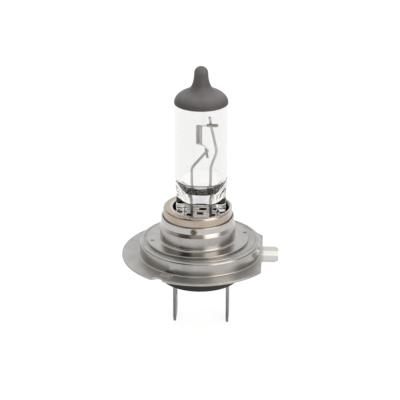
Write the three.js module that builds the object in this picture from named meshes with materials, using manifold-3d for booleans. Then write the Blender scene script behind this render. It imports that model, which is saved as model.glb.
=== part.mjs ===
// A single-filament halogen headlight bulb with a prefocus metal cap and two blade terminals.
// Millimetres, +Z up towards the glass tip. The origin is the centre of the reference plane, which is
// the upper face of the mounting flange, and +X runs out through the flange's locating tab.

import * as THREE from 'three';
import { mergeVertices } from 'three/addons/utils/BufferGeometryUtils.js';
import Module from 'manifold-3d';

const wasm = await Module();
wasm.setup();

// ---------------------------------------------------------------- driving dimensions

const ROUND = 48; // facets round a large turned piece
const SMALL_ROUND = 12; // facets round a pin, weld or wire channel

// Drawn cap: flange plate, raised disc and locating tab, all in one sheet.
const SHEET = 0.5;
const LOBE_RADIUS = 16.8;
const SIDE_RADIUS = 16.25;
const DISC_RADIUS = 12.9;
const DISC_TOP = 3.1;
const DISC_SHOULDER = 0.6;
const DISC_FOOT = 0.3;
const DISC_INNER_CORNER = 0.2;
const CAP_HOLE_RADIUS = 7.2;
const FLAT_DISTANCE = 13.4;
const NOTCH_ANGLE = 120;
const NOTCH_HALF_WIDTH = 1.0;
const NOTCH_BOTTOM = 15.5;
const NOTCH_CORNER = 0.7;
const PAD_ANGLE = 117.5;
const PAD_CENTRE = 13.3;
const PAD_REACH = 0.95;
const PAD_LENGTH_RATIO = 1.6;
const PAD_TOP = 0.38;
const PAD_DRAFT = 0.35;
const TAB_REACH = 16.9;
const TAB_WIDTH = 7.2;
const TAB_CHAMFER = [0.6, 0.96];
const TAB_GROOVE_WIDTH = 2.4;
const TAB_GROOVE_DEPTH = 0.3;
const TAB_ROOT = FLAT_DISTANCE - 1.5;
const TROUGH_START = TAB_ROOT + 0.4;
const TROUGH_KEEL_END = TAB_REACH - 0.3;

// Focusing collar: a drawn tube with a foot that slides on the disc before it is welded.
const COLLAR_SHIFT = -0.5;
const COLLAR_SHEET = 0.33;
const FOOT_RADIUS = 10.9;
const FOOT_EDGE = 0.08;
const FOOT_TOP = DISC_TOP + SHEET;
const COLLAR_LOW_RADIUS = 8.1;
const COLLAR_TOP_RADIUS = 7.8;
const COLLAR_TOP = 8.75;
const SHOULDER_TOP = 7.35;
const SHOULDER_MIDDLE = [7.9, 6.95];
const SHOULDER_LOW = 6.45;
const SHOULDER_ROUND = 0.3;
const FOOT_FILLET = 0.45;
const FOOT_CLEARANCE = 0.02;
const FOOT_UNDER_CORNER = [0.53, 0.25];

// Focusing ring: a drawn cup with a rounded lip, which slides in the collar.
const RING_RADIUS = 7.37;
const RING_SHEET = 0.45;
const RING_TOP = 10.8;
const RING_BOTTOM = 4.3;
const RING_HOLE_RADIUS = 6.1;
const RING_HOLE_SHIFT = 0.3;
const RING_LIP = 0.9;
const RING_COUNTERSINK = 0.3;

// Spot welds, as low buttons: three on the collar's upper band and two on its foot.
const RING_WELD_RADIUS = 0.6;
const RING_WELD_HEIGHT = 7.95;
const RING_WELD_RISE = 0.25;
const RING_WELD_ANGLES = [30, 150, 267];
const FOOT_WELD_RADIUS = 0.42;
const FOOT_WELD_RISE = 0.08;
const FOOT_WELD_CIRCLE = 10.15;
const FOOT_WELD_SHIFT = -0.25;
const FOOT_WELD_ANGLES = [15, 195];
const WELD_GAP = 0.01;

// Glass envelope.
const GLASS_SHIFT = 0.25;
const GLASS_RADIUS = 5.57;
const GLASS_INNER_RADIUS = 4.5;
const PINCH_HALF_WIDTH = 5.3;
const PINCH_HALF_THICK = 1.15;
const PINCH_BEAD_RADIUS = 1.55;
const PINCH_BEAD_TOP = 15.2;
const PINCH_BOTTOM = 4.6;
const WAIST_LOW = 14.6;
const WAIST_HIGH = 16.8;
const FLARE_LOW = 11.7;
const FLARE_HIGH = 17.2;
const FLARE_EASE = [1.5, 1.6];
const DOME_BASE = 34.15;
const DOME_RISE = 3.0;
const INNER_DOME_RISE = 2.2;
const NECK_ANGLE = 58;
const NECK_PULL = [1.7, 37.4];
const NECK_END = [1.42, 39.7];
const TIP_RADIUS = 1.36;
const TIP_TOP = 41.95;
const CAVITY_FLOOR = 14.6;
const CAVITY_FLARE = [14.8, 17.2];
const CAVITY_SLIT = 0.5;
const CHANNEL_TOP = 17.1;
const COATING_GAP = 0.02;
const COATING_THICK = 0.09;

// Filament, its wires and crimps.
const COIL_X = -0.2;
const COIL_BOTTOM = 25.0;
const COIL_LENGTH = 4.1;
const COIL_RADIUS = 0.6;
const COIL_TURNS = 10;
const COIL_WIRE = 0.11;
const LEAD_WIRE = 0.28;
const LEAD_END = 2.75;
const LEAD_BEND = 0.75;
const CHANNEL_RADIUS = 0.55;
const SHORT_LEAD_X = -1.75;
const SHORT_LEAD = [[SHORT_LEAD_X, LEAD_END], [SHORT_LEAD_X, 19.6], [1.62, 23.6]];
const LONG_LEAD_X = 2.26;
const LONG_LEAD = [[LONG_LEAD_X, LEAD_END], [LONG_LEAD_X, 19.8], [3.56, 23.4], [2.31, 29.2], [2.04, 31.0]];
const CRIMP_FRONT = -0.58;
const CRIMP_THICK = 0.46;
const CRIMP_BORE = 0.15;
const UPPER_CRIMP = { x: 2.62, z: 29.4, length: 2.3, width: 0.62 };
const LOWER_CRIMP = { x: 1.43, z: 23.2, length: 2.1, width: 0.52, tilt: -11 };
const UPPER_LEG = [[2.2, 29.4], [1.5, 29.4], [0.85, 29.3]];
const LOWER_LEG = [[0.75, 24.92], [1.05, 24.75], [1.19, 24.4], [1.26, 24.05]];

// Sheet holder that clamps the pinch. Each plate's glass-side face follows (depth, height) corners.
const HOLDER_SHEET = 0.3;
const HOLDER_HALF_WIDTH = 4.85;
const REAR_PROFILE = [
  [1.75, 5.0], [1.75, 7.6], [2.35, 8.7], [2.0, 8.85], [2.45, 9.6], [2.25, 9.7], [2.6, 10.3],
];
const FRONT_PROFILE = [[-3.4, 5.0], [-3.4, 7.0], [-1.75, 8.7]];
// Each slot is [centre x, half width, lowest height, highest height].
const REAR_SLOTS = [
  [-2.8, 0.22, 9.15, 9.35], [0.3, 0.75, 9.05, 9.55], [2.8, 0.42, 9.1, 9.5],
  [-2.75, 0.42, 7.75, 8.35], [-0.3, 0.7, 8.1, 8.6], [2.4, 0.5, 7.75, 8.35],
];
const FRONT_SLOTS = [[-2.75, 0.42, 6.2, 6.8], [0, 0.7, 6.2, 6.8], [2.75, 0.42, 6.2, 6.8]];

// Insulator and blade terminals.
const INSULATOR_PLUG_RADIUS = 12.1;
const INSULATOR_PLUG_TOP = 2.45;
const INSULATOR_BOSS_RADIUS = 8.6;
const INSULATOR_BOTTOM = -5.5;
const INSULATOR_SHOULDER = -0.7;
const INSULATOR_EDGE = 0.15;
const BLADE_SHIFT = 0.3;
const BLADE_SPACING = 11.4;
const BLADE_THICK = 0.55;
const BLADE_WIDTH = 6.3;
const BLADE_BOTTOM = -15.8;
const BLADE_CHAMFER = [1.1, 1.43];
const BLADE_TAIL_WIDTH = 3.4;
const TERMINAL_SLOT_GAP = 0.2;
const TERMINAL_GAP = 0.15;
const LUG_GAP = 0.1;
const LUG_LEAD_GAP = 0.08;

const rad = THREE.MathUtils.degToRad;
const part = new THREE.Group();

// ---------------------------------------------------------------- looks

const METALS = {
  cap: { color: 0xb9b8b4, roughness: 0.32, metalness: 1 },
  collar: { color: 0xbdbbb6, roughness: 0.2, metalness: 1 },
  ring: { color: 0xb3a899, roughness: 0.4, metalness: 1 },
  clip: { color: 0xc9c6bf, roughness: 0.3, metalness: 1 },
  blade: { color: 0x9a9691, roughness: 0.4, metalness: 1 },
  lead: { color: 0xa09d98, roughness: 0.38, metalness: 1 },
  coil: { color: 0x6f6d6a, roughness: 0.45, metalness: 1 },
  crimp: { color: 0x938a7f, roughness: 0.45, metalness: 1 },
  weld: { color: 0x6d6357, roughness: 0.6, metalness: 1 },
};

function metal(name) {
  return new THREE.MeshStandardMaterial(METALS[name]);
}

function add(name, geometry, material, x = 0, y = 0, z = 0) {
  const mesh = new THREE.Mesh(geometry, material);
  mesh.name = name;
  mesh.position.set(x, y, z);
  part.add(mesh);
  return mesh;
}

// ---------------------------------------------------------------- solid helpers

// A closed mesh as a Manifold solid: shared vertices merged and flat triangles dropped.
function toManifold(geometry) {
  const bare = geometry.clone();
  bare.deleteAttribute('normal');
  bare.deleteAttribute('uv');
  const merged = mergeVertices(bare, 1e-4);
  const index = merged.index.array;
  const triangles = [];
  for (let i = 0; i < index.length; i += 3) {
    const [a, b, c] = [index[i], index[i + 1], index[i + 2]];
    if (a !== b && b !== c && c !== a) triangles.push(a, b, c);
  }
  const positions = merged.attributes.position.array;
  if (signedVolume(positions, triangles) < 0) {
    for (let i = 0; i < triangles.length; i += 3) {
      [triangles[i + 1], triangles[i + 2]] = [triangles[i + 2], triangles[i + 1]];
    }
  }
  return new wasm.Manifold(new wasm.Mesh({
    numProp: 3,
    vertProperties: new Float32Array(positions),
    triVerts: new Uint32Array(triangles),
  }));
}

function signedVolume(positions, triangles) {
  const [a, b, c] = [new THREE.Vector3(), new THREE.Vector3(), new THREE.Vector3()];
  let total = 0;
  for (let i = 0; i < triangles.length; i += 3) {
    a.fromArray(positions, 3 * triangles[i]);
    b.fromArray(positions, 3 * triangles[i + 1]);
    c.fromArray(positions, 3 * triangles[i + 2]);
    total += a.dot(b.cross(c)) / 6;
  }
  return total;
}

function toGeometry(solid) {
  const mesh = solid.getMesh();
  const geometry = new THREE.BufferGeometry();
  geometry.setAttribute('position', new THREE.BufferAttribute(new Float32Array(mesh.vertProperties), 3));
  geometry.setIndex(new THREE.BufferAttribute(new Uint32Array(mesh.triVerts), 1));
  geometry.computeVertexNormals();
  return geometry;
}

// A turned solid about the Z axis from a closed (radius, height) outline.
function turned(outline, segments = ROUND) {
  const points = outline.map(([r, z]) => new THREE.Vector2(Math.max(r, 0), z));
  const [first, last] = [points[0], points[points.length - 1]];
  const open = first.distanceTo(last) > 1e-6 && (first.x > 0 || last.x > 0);
  if (open) points.push(first.clone());
  return toManifold(new THREE.LatheGeometry(points, segments).rotateX(Math.PI / 2));
}

// Points on an arc in (radius, height), from one angle to another in degrees.
function arc(centreR, centreZ, radiusR, radiusZ, fromDeg, toDeg, steps) {
  const points = [];
  for (let i = 0; i <= steps; i++) {
    const a = rad(fromDeg + ((toDeg - fromDeg) * i) / steps);
    points.push([centreR + radiusR * Math.cos(a), centreZ + radiusZ * Math.sin(a)]);
  }
  return points;
}

// A plate: a flat outline in X and Y, extruded up from z = low to z = high.
function plate(shape, low, high, curveSegments = 12) {
  const options = { depth: high - low, bevelEnabled: false, curveSegments };
  return toManifold(new THREE.ExtrudeGeometry(shape, options).translate(0, 0, low));
}

function box(low, high) {
  const size = high.map((v, i) => v - low[i]);
  const centre = high.map((v, i) => (v + low[i]) / 2);
  return toManifold(new THREE.BoxGeometry(...size).translate(...centre));
}

// An upright round bar from z = low to z = high.
function bar(radius, low, high, x = 0, y = 0, segments = SMALL_ROUND) {
  const geometry = new THREE.CylinderGeometry(radius, radius, high - low, segments).rotateX(Math.PI / 2);
  return toManifold(geometry.translate(x, y, (low + high) / 2));
}

// A round wire that follows a path.
function wire(path, radius, steps, halfSides = 4) {
  const section = new THREE.Shape().absarc(0, 0, radius, 0, 2 * Math.PI);
  const options = { steps, bevelEnabled: false, extrudePath: path, curveSegments: halfSides };
  return toManifold(new THREE.ExtrudeGeometry(section, options));
}

// ---------------------------------------------------------------- cap

// Adds a round-bottomed notch to a rim outline. The rim radius may differ on its two sides.
function addNotch(shape, angleDeg, radiusBefore, radiusAfter) {
  const [cos, sin] = [Math.cos(rad(angleDeg)), Math.sin(rad(angleDeg))];
  const at = (along, r) => [r * cos - along * sin, r * sin + along * cos];
  const [w, c] = [NOTCH_HALF_WIDTH, NOTCH_CORNER];
  const onRim = (along, r) => at(along, Math.sqrt(r * r - along * along));
  shape.lineTo(...onRim(-w - c, radiusBefore));
  shape.quadraticCurveTo(...at(-w, radiusBefore), ...at(-w, radiusBefore - c));
  shape.quadraticCurveTo(...at(-w, NOTCH_BOTTOM), ...at(0, NOTCH_BOTTOM));
  shape.quadraticCurveTo(...at(w, NOTCH_BOTTOM), ...at(w, radiusAfter - c));
  shape.quadraticCurveTo(...at(w, radiusAfter), ...onRim(w + c, radiusAfter));
}

// The flange outline: a wide lobe opposite the tab, two side arcs, two notches and the flat by the tab.
function flangeShape() {
  const shape = new THREE.Shape();
  const flatHalf = Math.sqrt(SIDE_RADIUS ** 2 - FLAT_DISTANCE ** 2);
  const flatAngle = Math.atan2(flatHalf, FLAT_DISTANCE);
  const notch = rad(NOTCH_ANGLE);
  const reach = (r) => Math.asin((NOTCH_HALF_WIDTH + NOTCH_CORNER) / r);
  const [side, lobe] = [SIDE_RADIUS, LOBE_RADIUS];
  shape.moveTo(FLAT_DISTANCE, -flatHalf);
  shape.lineTo(FLAT_DISTANCE, flatHalf);
  shape.absarc(0, 0, side, flatAngle, notch - reach(side), false);
  addNotch(shape, NOTCH_ANGLE, side, lobe);
  shape.absarc(0, 0, lobe, notch + reach(lobe), 2 * Math.PI - notch - reach(lobe), false);
  addNotch(shape, -NOTCH_ANGLE, lobe, side);
  shape.absarc(0, 0, side, reach(side) - notch, -flatAngle, false);
  return shape;
}

// The locating tab, with chamfered corners and a shallow pressed groove along it.
function tab() {
  const [half, start] = [TAB_WIDTH / 2, TAB_ROOT];
  const [cutX, cutY] = TAB_CHAMFER;
  const outline = new THREE.Shape([
    new THREE.Vector2(start, -half),
    new THREE.Vector2(TAB_REACH - cutX, -half),
    new THREE.Vector2(TAB_REACH, -half + cutY),
    new THREE.Vector2(TAB_REACH, half - cutY),
    new THREE.Vector2(TAB_REACH - cutX, half),
    new THREE.Vector2(start, half),
  ]);
  const groove = TAB_GROOVE_WIDTH / 2;
  const under = SHEET + TAB_GROOVE_DEPTH;
  const keel = box([TROUGH_START, -groove - SHEET, -under], [TROUGH_KEEL_END, groove + SHEET, -SHEET / 2]);
  const trough = box([TROUGH_START, -groove, -TAB_GROOVE_DEPTH], [TAB_REACH + 1, groove, 1]);
  return plate(outline, -SHEET, 0).add(keel).subtract(trough);
}

// The raised disc: top, rounded shoulder and wall, drawn up from the flange around the base opening.
function disc() {
  const wallIn = DISC_RADIUS - SHEET;
  const [s, f, c] = [DISC_SHOULDER, DISC_FOOT, DISC_INNER_CORNER];
  return turned([
    [CAP_HOLE_RADIUS, DISC_TOP],
    [DISC_RADIUS - s, DISC_TOP],
    ...arc(DISC_RADIUS - s, DISC_TOP - s, s, s, 70, 0, 4),
    ...arc(DISC_RADIUS + f, f, f, f, 180, 270, 2),
    [DISC_RADIUS + f, -SHEET],
    [wallIn + f, -SHEET],
    [wallIn, f - SHEET],
    [wallIn, DISC_TOP - SHEET - c],
    [wallIn - c, DISC_TOP - SHEET],
    [CAP_HOLE_RADIUS, DISC_TOP - SHEET],
  ]);
}

// A low oval pad, coined between a notch and the foot of the disc.
function coinedPad(sign) {
  const [top, low] = [PAD_TOP, -SHEET / 4];
  const cone = new THREE.CylinderGeometry(PAD_REACH - PAD_DRAFT, PAD_REACH, top - low, SMALL_ROUND);
  const oval = cone.rotateX(Math.PI / 2).scale(1, PAD_LENGTH_RATIO, 1);
  return toManifold(oval.translate(PAD_CENTRE, 0, (top + low) / 2).rotateZ(sign * rad(PAD_ANGLE)));
}

function baseFlange() {
  const opening = bar(DISC_RADIUS - SHEET, -SHEET - 1, DISC_TOP - SHEET - 0.4, 0, 0, ROUND);
  const flange = plate(flangeShape(), -SHEET, 0).add(tab()).subtract(opening);
  return flange.add(disc()).add(coinedPad(1)).add(coinedPad(-1));
}

// ---------------------------------------------------------------- collar and focusing ring

function collar() {
  const t = COLLAR_SHEET;
  const [low, top] = [COLLAR_LOW_RADIUS, COLLAR_TOP_RADIUS];
  const [f, s] = [FOOT_FILLET, SHOULDER_ROUND];
  const [cornerOut, cornerUp] = FOOT_UNDER_CORNER;
  return turned([
    [top - t, COLLAR_TOP],
    ...arc(top - t, COLLAR_TOP - t, t, t, 90, 0, 2),
    [top, SHOULDER_TOP],
    SHOULDER_MIDDLE,
    ...arc(low - s, SHOULDER_LOW, s, s, 60, 0, 2),
    ...arc(low + f, FOOT_TOP + f, f, f, 180, 270, 3),
    [FOOT_RADIUS - FOOT_EDGE, FOOT_TOP],
    [FOOT_RADIUS, FOOT_TOP - FOOT_EDGE],
    [FOOT_RADIUS, DISC_TOP + FOOT_CLEARANCE],
    [low - t + cornerOut, DISC_TOP + FOOT_CLEARANCE],
    [low - t, DISC_TOP + cornerUp],
    [low - t, SHOULDER_LOW],
    [top - t, SHOULDER_MIDDLE[1]],
  ]);
}

function focusingRing() {
  const [outer, t, lip] = [RING_RADIUS, RING_SHEET, RING_LIP];
  const cup = turned([
    [0, RING_TOP],
    ...arc(outer - lip, RING_TOP - lip, lip, lip, 90, 0, 5),
    [outer, RING_BOTTOM],
    [outer - t, RING_BOTTOM],
    ...arc(outer - lip, RING_TOP - lip, lip - t, lip - t, 0, 90, 2),
    [0, RING_TOP - t],
  ]);
  const hole = bar(RING_HOLE_RADIUS, RING_TOP - 2, RING_TOP + 1, RING_HOLE_SHIFT - COLLAR_SHIFT, 0, ROUND);
  const countersink = turned([
    [0, RING_TOP + 0.1],
    [RING_HOLE_RADIUS + RING_COUNTERSINK, RING_TOP + 0.1],
    [RING_HOLE_RADIUS, RING_TOP - 0.2],
    [0, RING_TOP - 0.2],
  ]).translate([RING_HOLE_SHIFT - COLLAR_SHIFT, 0, 0]);
  return cup.subtract(hole).subtract(countersink);
}

// A low round button with a blunt crown, a hair above the face it sits on.
function weldButton(radius, rise) {
  const edge = WELD_GAP + (rise - WELD_GAP) * 0.6;
  const crown = [radius * 0.7, rise * 0.9];
  return turned([[0, WELD_GAP], [radius, WELD_GAP], [radius, edge], crown, [0, rise]], SMALL_ROUND);
}

// ---------------------------------------------------------------- glass

// The outer outline, as (radius, height), from the top of the tube over the dome and the exhaust tip.
function envelopeOutline(grow = 0) {
  const dome = arc(0, DOME_BASE, GLASS_RADIUS + grow, DOME_RISE + grow, 0, NECK_ANGLE, 4);
  const [start, pull, end] = [dome.pop(), NECK_PULL, NECK_END];
  const neck = new THREE.QuadraticBezierCurve(
    new THREE.Vector2(...start),
    new THREE.Vector2(pull[0] + grow, pull[1]),
    new THREE.Vector2(end[0] + grow, end[1]),
  );
  const tip = arc(0, TIP_TOP - TIP_RADIUS, TIP_RADIUS + grow, TIP_RADIUS + grow, 0, 90, 4);
  return [...dome, ...neck.getPoints(4).map((p) => [p.x, p.y]), ...tip];
}

// The side view of the envelope: the round tube runs down into a flat pinch.
function pinchSideShape(tubeHalf, pinchHalf, low, flareLow, flareHigh, high) {
  const [rise, fall] = [flareLow + FLARE_EASE[0], flareHigh - FLARE_EASE[1]];
  const shape = new THREE.Shape();
  shape.moveTo(-pinchHalf, low);
  shape.lineTo(pinchHalf, low);
  shape.lineTo(pinchHalf, flareLow);
  shape.bezierCurveTo(pinchHalf, rise, tubeHalf, fall, tubeHalf, flareHigh);
  shape.lineTo(tubeHalf, high);
  shape.lineTo(-tubeHalf, high);
  shape.lineTo(-tubeHalf, flareHigh);
  shape.bezierCurveTo(-tubeHalf, fall, -pinchHalf, rise, -pinchHalf, flareLow);
  return shape;
}

// Extrudes a side view in (Y, Z) across the whole width in X.
function acrossX(shape, halfWidth) {
  const options = { depth: 2 * halfWidth, bevelEnabled: false, curveSegments: 6 };
  const geometry = new THREE.ExtrudeGeometry(shape, options).translate(0, 0, -halfWidth);
  return toManifold(geometry.rotateX(Math.PI / 2).rotateZ(Math.PI / 2));
}

// The tube and pinch, cut to its side view, less the cavity and the open channels round the leads.
function glassEnvelope() {
  const [wide, above] = [GLASS_RADIUS + 1, TIP_TOP + 1];
  const outer = turned([
    [0, PINCH_BOTTOM],
    [PINCH_HALF_WIDTH, PINCH_BOTTOM],
    [PINCH_HALF_WIDTH, WAIST_LOW],
    [GLASS_RADIUS, WAIST_HIGH],
    ...envelopeOutline(),
  ]);
  const side = acrossX(pinchSideShape(wide, PINCH_HALF_THICK, 0, FLARE_LOW, FLARE_HIGH, above), wide);
  const beadX = PINCH_HALF_WIDTH - PINCH_BEAD_RADIUS;
  const beads = [-1, 1].map((s) => bar(PINCH_BEAD_RADIUS, PINCH_BOTTOM, PINCH_BEAD_TOP, s * beadX));
  const cavityRound = turned([
    [0, PINCH_BOTTOM],
    [GLASS_INNER_RADIUS, PINCH_BOTTOM],
    ...arc(0, DOME_BASE, GLASS_INNER_RADIUS, INNER_DOME_RISE, 0, 90, 5),
  ], 36);
  const cavitySide = acrossX(pinchSideShape(wide, CAVITY_SLIT, CAVITY_FLOOR, ...CAVITY_FLARE, above), wide);
  const channels = [SHORT_LEAD_X, LONG_LEAD_X].map((x) => (
    bar(CHANNEL_RADIUS, PINCH_BOTTOM - 1, CHANNEL_TOP, x - GLASS_SHIFT)
  ));
  const solid = outer.intersect(side).add(beads[0]).add(beads[1]);
  const hollow = solid.subtract(cavityRound.intersect(cavitySide));
  return channels.reduce((glass, channel) => glass.subtract(channel), hollow);
}

// The dark heat-proof coating over the dome and tip, as a thin open cap.
function antiGlareCap() {
  const inner = envelopeOutline(COATING_GAP);
  const outer = envelopeOutline(COATING_GAP + COATING_THICK);
  inner[inner.length - 1][0] = 0;
  outer[outer.length - 1][0] = 0;
  return turned([...outer, ...inner.reverse(), outer[0]].map(([r, z]) => [r, z]));
}

// ---------------------------------------------------------------- filament, leads and crimps

// One wire: upper leg, helix and lower leg.
function filament() {
  const facets = 8;
  const steps = COIL_TURNS * facets;
  const top = COIL_BOTTOM + COIL_LENGTH;
  const legPoint = ([x, z]) => new THREE.Vector3(x, CRIMP_FRONT, z);
  const coil = [];
  for (let i = 0; i <= steps; i++) {
    const a = -Math.PI / 3 - (2 * Math.PI * i) / facets;
    const z = top - (COIL_LENGTH * i) / steps;
    coil.push(new THREE.Vector3(COIL_X + COIL_RADIUS * Math.cos(a), COIL_RADIUS * Math.sin(a), z));
  }
  const points = [...UPPER_LEG.map(legPoint), ...coil, ...LOWER_LEG.map(legPoint)];
  return wire(new THREE.CatmullRomCurve3(points, false, 'centripetal'), COIL_WIRE, 150, 3);
}

// Straight runs between (x, height) corners, joined by small rounded bends.
function bentPath(corners, bend) {
  const path = new THREE.CurvePath();
  const points = corners.map(([x, z]) => new THREE.Vector3(x, 0, z));
  let start = points[0];
  for (let i = 1; i < points.length - 1; i++) {
    const into = points[i - 1].clone().sub(points[i]).setLength(bend).add(points[i]);
    const out = points[i + 1].clone().sub(points[i]).setLength(bend).add(points[i]);
    path.add(new THREE.LineCurve3(start, into));
    path.add(new THREE.QuadraticBezierCurve3(into, points[i], out));
    start = out;
  }
  path.add(new THREE.LineCurve3(start, points[points.length - 1]));
  return path;
}

// A flattened sleeve that holds a filament leg against its lead, open at both ends.
function crimp({ length, width }) {
  const outline = new THREE.Shape();
  const [a, b] = [width / 2, CRIMP_THICK / 2];
  outline.moveTo(-a + b, -b);
  outline.lineTo(a - b, -b);
  outline.absarc(a - b, 0, b, -Math.PI / 2, Math.PI / 2, false);
  outline.lineTo(-a + b, b);
  outline.absarc(-a + b, 0, b, Math.PI / 2, (3 * Math.PI) / 2, false);
  return plate(outline, -length / 2, length / 2, 6).subtract(bar(CRIMP_BORE, -length, length, 0, 0, 8));
}

// ---------------------------------------------------------------- pinch holder

// A sheet plate across X that follows a profile, with level slots cut through it.
// side is +1 where the sheet lies behind its profile and -1 where it lies in front.
function holderPlate(profile, side, slots) {
  const face = profile.map(([y, z]) => new THREE.Vector2(y, z));
  const back = profile.map(([y, z]) => new THREE.Vector2(y + side * HOLDER_SHEET, z)).reverse();
  const sheet = acrossX(new THREE.Shape([...face, ...back]), HOLDER_HALF_WIDTH);
  return slots.reduce((solid, [x, half, low, high]) => (
    solid.subtract(box([x - half, -GLASS_RADIUS, low], [x + half, GLASS_RADIUS, high]))
  ), sheet);
}

// ---------------------------------------------------------------- insulator and terminals

function insulator() {
  const [boss, plug, e] = [INSULATOR_BOSS_RADIUS, INSULATOR_PLUG_RADIUS, INSULATOR_EDGE];
  const body = turned([
    [0, INSULATOR_BOTTOM],
    [boss - e, INSULATOR_BOTTOM],
    [boss, INSULATOR_BOTTOM + e],
    [boss, INSULATOR_SHOULDER],
    [plug - e, INSULATOR_SHOULDER],
    [plug, INSULATOR_SHOULDER + e],
    [plug, INSULATOR_PLUG_TOP - e],
    [plug - e, INSULATOR_PLUG_TOP],
    [0, INSULATOR_PLUG_TOP],
  ]);
  const gap = TERMINAL_SLOT_GAP;
  const halfX = BLADE_THICK / 2 + gap;
  const halfY = BLADE_TAIL_WIDTH / 2 + gap;
  let solid = body;
  for (const side of [-1, 1]) {
    const x = BLADE_SHIFT + (side * BLADE_SPACING) / 2;
    const [low, high] = [INSULATOR_BOTTOM - 1, INSULATOR_PLUG_TOP + 1];
    solid = solid.subtract(box([x - halfX, -halfY, low], [x + halfX, halfY, high]));
  }
  return solid;
}

// A blade terminal: the contact blade, a narrower tail through the insulator and a lug turned inwards.
function terminal(side) {
  const [half, tail] = [BLADE_WIDTH / 2, BLADE_TAIL_WIDTH / 2];
  const [cutY, cutZ] = BLADE_CHAMFER;
  const shoulder = INSULATOR_BOTTOM - TERMINAL_GAP;
  const lugTop = INSULATOR_PLUG_TOP + LUG_GAP + BLADE_THICK;
  const outline = new THREE.Shape([
    new THREE.Vector2(-half + cutY, BLADE_BOTTOM),
    new THREE.Vector2(half - cutY, BLADE_BOTTOM),
    new THREE.Vector2(half, BLADE_BOTTOM + cutZ),
    new THREE.Vector2(half, shoulder),
    new THREE.Vector2(tail, shoulder),
    new THREE.Vector2(tail, lugTop),
    new THREE.Vector2(-tail, lugTop),
    new THREE.Vector2(-tail, shoulder),
    new THREE.Vector2(-half, shoulder),
    new THREE.Vector2(-half, BLADE_BOTTOM + cutZ),
  ]);
  const x = BLADE_SHIFT + (side * BLADE_SPACING) / 2;
  const blade = acrossX(outline, BLADE_THICK / 2).translate([x, 0, 0]);
  const leadX = side < 0 ? SHORT_LEAD_X : LONG_LEAD_X;
  const lugEnd = leadX + side * (LEAD_WIRE + LUG_LEAD_GAP);
  const [from, to] = side < 0 ? [x - BLADE_THICK / 2, lugEnd] : [lugEnd, x + BLADE_THICK / 2];
  return blade.add(box([from, -tail, lugTop - BLADE_THICK], [to, tail, lugTop]));
}

// ---------------------------------------------------------------- assembly

const glassMaterial = new THREE.MeshStandardMaterial({
  color: 0xf4f6f5, roughness: 0.03, metalness: 0, transparent: true, opacity: 0.3,
});
const coatingMaterial = new THREE.MeshStandardMaterial({ color: 0x55504f, roughness: 0.62, metalness: 0.15 });
const plasticMaterial = new THREE.MeshStandardMaterial({ color: 0x24211f, roughness: 0.6, metalness: 0 });

add('base_flange', toGeometry(baseFlange()), metal('cap'));
add('collar', toGeometry(collar()), metal('collar'), COLLAR_SHIFT);
add('focusing_ring', toGeometry(focusingRing()), metal('ring'), COLLAR_SHIFT);
add('glass_envelope', toGeometry(glassEnvelope()), glassMaterial, GLASS_SHIFT);
add('anti_glare_cap', toGeometry(antiGlareCap()), coatingMaterial, GLASS_SHIFT);
add('filament', toGeometry(filament()), metal('coil'));
add('long_lead_wire', toGeometry(wire(bentPath(LONG_LEAD, LEAD_BEND), LEAD_WIRE, 48)), metal('lead'));
add('short_lead_wire', toGeometry(wire(bentPath(SHORT_LEAD, LEAD_BEND), LEAD_WIRE, 40)), metal('lead'));

// The upper crimp lies level across the long lead; the lower one hangs across the short lead's end.
const upper = add('upper_crimp', toGeometry(crimp(UPPER_CRIMP)), metal('crimp'));
upper.position.set(UPPER_CRIMP.x, CRIMP_FRONT, UPPER_CRIMP.z);
upper.rotation.set(0, Math.PI / 2, 0);
const lower = add('lower_crimp', toGeometry(crimp(LOWER_CRIMP)), metal('crimp'));
lower.position.set(LOWER_CRIMP.x, CRIMP_FRONT, LOWER_CRIMP.z);
lower.rotation.set(0, rad(LOWER_CRIMP.tilt), 0);

const holderFront = holderPlate(FRONT_PROFILE, -1, FRONT_SLOTS);
const holderRear = holderPlate(REAR_PROFILE, 1, REAR_SLOTS);
add('pinch_holder_front', toGeometry(holderFront), metal('clip'), GLASS_SHIFT);
add('pinch_holder_rear', toGeometry(holderRear), metal('clip'), GLASS_SHIFT);
add('insulator', toGeometry(insulator()), plasticMaterial);
add('terminal_left', toGeometry(terminal(-1)), metal('blade'));
add('terminal_right', toGeometry(terminal(1)), metal('blade'));

// Three welds join the collar to the focusing ring, round the upper band.
RING_WELD_ANGLES.forEach((angle, i) => {
  const a = rad(angle);
  const [x, y] = [COLLAR_TOP_RADIUS * Math.cos(a), COLLAR_TOP_RADIUS * Math.sin(a)];
  const button = toGeometry(weldButton(RING_WELD_RADIUS, RING_WELD_RISE));
  const weld = add(`ring_weld_${i + 1}`, button, metal('weld'), COLLAR_SHIFT + x, y, RING_WELD_HEIGHT);
  weld.rotation.order = 'ZYX';
  weld.rotation.set(0, Math.PI / 2, a);
});

// Two welds fix the collar's foot to the disc once the filament is in focus.
FOOT_WELD_ANGLES.forEach((angle, i) => {
  const a = rad(angle);
  add(`foot_weld_${i + 1}`, toGeometry(weldButton(FOOT_WELD_RADIUS, FOOT_WELD_RISE)), metal('weld'),
    FOOT_WELD_CIRCLE * Math.cos(a) + FOOT_WELD_SHIFT, FOOT_WELD_CIRCLE * Math.sin(a), FOOT_TOP);
});

export default part;
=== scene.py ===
import math

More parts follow.
